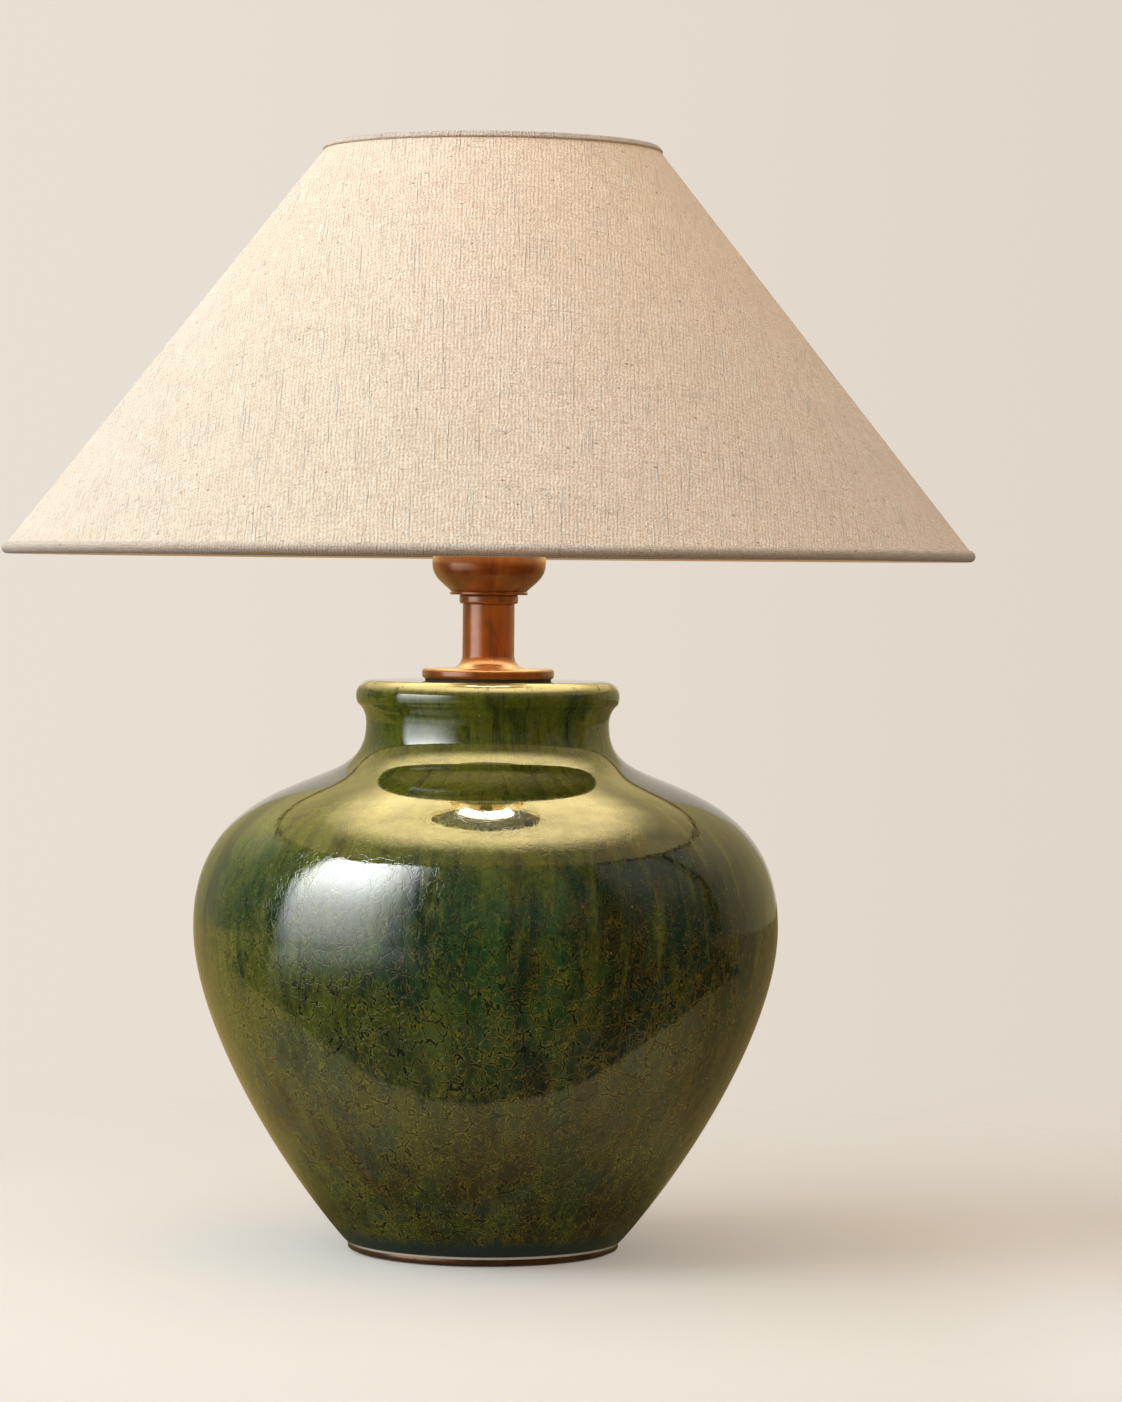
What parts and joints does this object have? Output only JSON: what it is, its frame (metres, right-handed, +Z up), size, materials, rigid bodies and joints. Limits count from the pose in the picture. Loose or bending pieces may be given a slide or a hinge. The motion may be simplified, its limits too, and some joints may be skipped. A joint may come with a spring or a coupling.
{
  "type": "table lamp",
  "caption": "Table lamp with a wide cone shade of linen on a harp, a turned wooden neck and a bellied glazed jar.",
  "frame": {"origin": "centre of the felt pad's underside, on the table top", "axes": "+Z up along the lamp's axis; the viewer stands on -Y, +X is the viewer's right; the harp lies in the XZ plane"},
  "size_m": [0.4536, 0.4536, 0.5231],
  "materials": {
    "felt": "dense wool felt, matt",
    "base_wood": "dark stained wood, satin",
    "zinc": "bright zinc plating",
    "brass": "plain brass, slightly dulled",
    "glaze": "glossy mottled crackle glaze",
    "bushing": "moulded nylon",
    "gasket": "matt",
    "turned_wood": "turned, satin lacquer",
    "porcelain": "unglazed steatite",
    "card": "pressed insulating card",
    "knob": "moulded phenolic",
    "nickel": "rolled sheet",
    "black_glass": "fused black glass",
    "bulb_white": "white moulded plastic",
    "board": "white lacquered board",
    "opal": "opal, frosted inside",
    "harp_metal": "brass plated steel wire, satin",
    "liner": "stiff white laminate",
    "linen": "natural slub linen, plain weave"
  },
  "bodies": {
    "root": {"felt_pad": "felt", "base_disc": "base_wood", "base_nut": "zinc", "base_lock_washer": "zinc", "base_washer": "zinc", "threaded_rod": "zinc", "jar": "glaze", "cord_bushing": "bushing", "neck_gasket": "gasket", "neck_column": "turned_wood", "neck_collar": "turned_wood", "neck_cup": "turned_wood", "cup_nut": "brass", "harp_saddle": "harp_metal", "socket_cap": "brass", "socket_insulator": "porcelain", "terminal_screws": "brass", "centre_contact": "brass", "screw_shell": "brass", "card_sleeve": "card", "socket_shell": "brass"},
    "knob": {"switch_stem": "brass", "switch_knob": "knob"},
    "bulb": {"bulb_contact": "nickel", "bulb_insulator": "black_glass", "bulb_cap": "nickel", "bulb_housing": "bulb_white", "led_board": "board", "bulb_globe": "opal"},
    "harp": {"harp": "harp_metal"},
    "sleeve_left": {"sleeve_left": "brass"},
    "sleeve_right": {"sleeve_right": "brass"},
    "swivel": {"harp_swivel": "brass"},
    "shade": {"spider": "harp_metal", "top_ring": "harp_metal", "bottom_ring": "harp_metal", "shade_liner": "liner", "shade_cover": "linen", "top_trim": "linen", "bottom_hem": "linen"},
    "finial": {"finial_insert": "brass", "finial_knob": "turned_wood"}
  },
  "joints": [
    {"name": "switch_turn", "type": "hinge", "parent": "root", "child": "knob", "pos_m": [0, -0.0193, 0.3416], "axis": [0, -1, 0], "continuous": true},
    {"name": "bulb_unscrew", "type": "slide", "parent": "root", "child": "bulb", "axis": [0, 0, 1], "range_m": [0, 0.027]},
    {"name": "harp_lift", "type": "slide", "parent": "root", "child": "harp", "axis": [0, 0, 1], "range_m": [0, 0.022]},
    {"name": "sleeve_left_lift", "type": "slide", "parent": "harp", "child": "sleeve_left", "axis": [0, 0, 1], "range_m": [0, 0.01]},
    {"name": "sleeve_right_lift", "type": "slide", "parent": "harp", "child": "sleeve_right", "axis": [0, 0, 1], "range_m": [0, 0.01]},
    {"name": "shade_swivel", "type": "hinge", "parent": "harp", "child": "swivel", "pos_m": [0, 0, 0.5063], "axis": [0, 0, 1], "continuous": true},
    {"name": "shade_lift", "type": "slide", "parent": "swivel", "child": "shade", "axis": [0, 0, 1], "range_m": [0, 0.012]},
    {"name": "finial_unscrew", "type": "slide", "parent": "shade", "child": "finial", "axis": [0, 0, 1], "range_m": [0, 0.012]}
  ]
}
